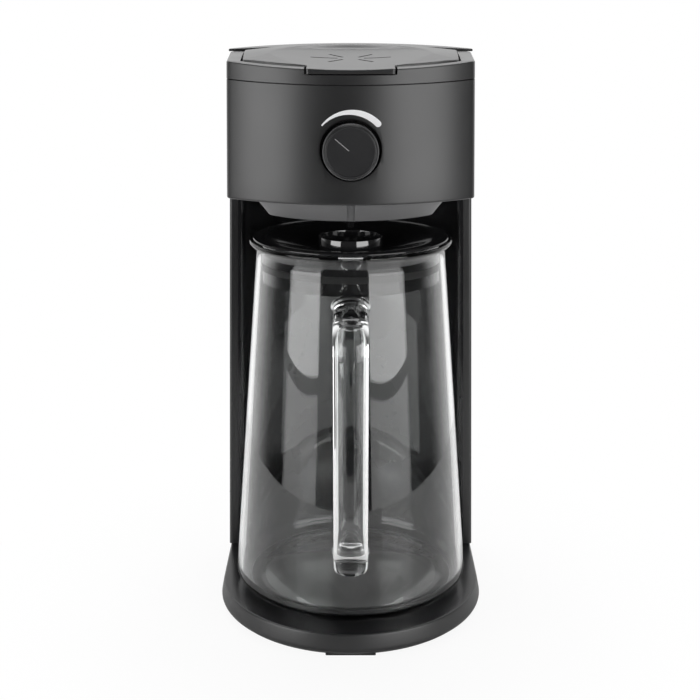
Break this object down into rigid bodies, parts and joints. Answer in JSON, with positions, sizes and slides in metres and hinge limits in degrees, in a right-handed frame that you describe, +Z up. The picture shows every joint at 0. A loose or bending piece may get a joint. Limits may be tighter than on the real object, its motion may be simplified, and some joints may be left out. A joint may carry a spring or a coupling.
{
  "type": "cold brew coffee maker",
  "caption": "Counter-top cold brew and iced tea maker: round-fronted base, hollow tower, overhanging head with a strength dial and hinged lid, and a clear glass jug with a rod handle.",
  "frame": {"origin": "on the table under the middle of the whole object's plan, handle included", "axes": "+X to the right seen from the front, +Y from the handle to the rear wall, +Z up"},
  "size_m": [0.168, 0.2338, 0.35],
  "materials": {
    "black_satin": "satin black moulded plastic",
    "black_gloss": "glossy black plastic",
    "grey_satin": "satin light grey plastic",
    "clear_glass": "clear glass",
    "lid_plastic": "satin black plastic",
    "clear_plastic": "clear smoked plastic",
    "pale_plastic": "pale grey plastic",
    "soft_rubber": "matt rubber",
    "hose": "milky silicone hose",
    "steel": "stainless steel",
    "cast_metal": "cast metal",
    "wire": "insulated wire"
  },
  "bodies": {
    "housing": {"base_shell": "black_satin", "base_plate": "black_satin", "rubber_feet": "soft_rubber", "base_screws": "steel", "tower_shell": "black_satin", "bay_panel": "black_gloss", "tower_screws": "steel", "water_tank": "clear_plastic", "check_valve": "soft_rubber", "feed_hose": "hose", "hose_clips": "steel", "heater_block": "cast_metal", "heating_element": "steel", "heater_bracket": "black_satin", "thermostat": "steel", "thermal_fuse": "pale_plastic", "riser_hose": "hose", "spout": "pale_plastic", "inner_wires": "wire", "cord_gland": "black_satin", "switch_case": "black_gloss", "head_shell": "black_satin", "knob_cup": "black_satin", "spindle_seal": "soft_rubber", "head_screws": "steel", "brew_well": "grey_satin", "top_frame": "black_satin", "lid_hinge_pins": "steel"},
    "lid": {"top_lid": "black_satin", "shower_plate": "pale_plastic", "lid_gutter": "pale_plastic"},
    "basket": {"brew_basket": "pale_plastic", "filter_frame": "pale_plastic", "filter_mesh": "steel"},
    "valve": {"drip_valve": "black_satin", "valve_seal": "soft_rubber", "valve_spring": "steel"},
    "dial": {"strength_knob": "black_gloss", "knob_spindle": "steel", "selector_disc": "pale_plastic"},
    "jug": {"jug_glass": "clear_glass"},
    "jug_cover": {"jug_lid": "lid_plastic", "jug_lid_seal": "soft_rubber"},
    "tank_cover": {"rear_cover": "black_satin"},
    "rocker": {"switch_rocker": "black_gloss"}
  },
  "joints": [
    {"name": "lid_hinge", "type": "hinge", "parent": "housing", "child": "lid", "pos_m": [0, 0.0569, 0.3405], "axis": [-1, 0, 0], "range_deg": [0, 93]},
    {"name": "basket_lift", "type": "slide", "parent": "housing", "child": "basket", "axis": [0, 0, 1], "range_m": [0, 0.049]},
    {"name": "valve_slide", "type": "slide", "parent": "basket", "child": "valve", "axis": [0, 0, 1], "range_m": [0, 0.003], "stiffness_N_per_m": 80, "springref_m": -0.002, "deforming": ["valve_spring"]},
    {"name": "dial_turn", "type": "hinge", "parent": "housing", "child": "dial", "pos_m": [0, -0.0691, 0.297], "axis": [0, 1, 0], "range_deg": [0, 96]},
    {"name": "jug_slide", "type": "slide", "parent": "housing", "child": "jug", "axis": [0, -1, 0], "range_m": [0, 0.16]},
    {"name": "jug_lid_turn", "type": "hinge", "parent": "jug", "child": "jug_cover", "pos_m": [0, -0.0091, 0.232], "axis": [0, 0, 1], "range_deg": [0, 90]},
    {"name": "tank_cover_lift", "type": "slide", "parent": "housing", "child": "tank_cover", "axis": [0, 0, 1], "range_m": [0, 0.025]},
    {"name": "rocker_tilt", "type": "hinge", "parent": "housing", "child": "rocker", "pos_m": [-0.079, 0.0569, 0.054], "axis": [0, -1, 0], "range_deg": [0, 10]}
  ],
  "couplings": [
    {"joint": "basket_lift", "follows": "lid_hinge", "m_per_rad": 0.03}
  ]
}
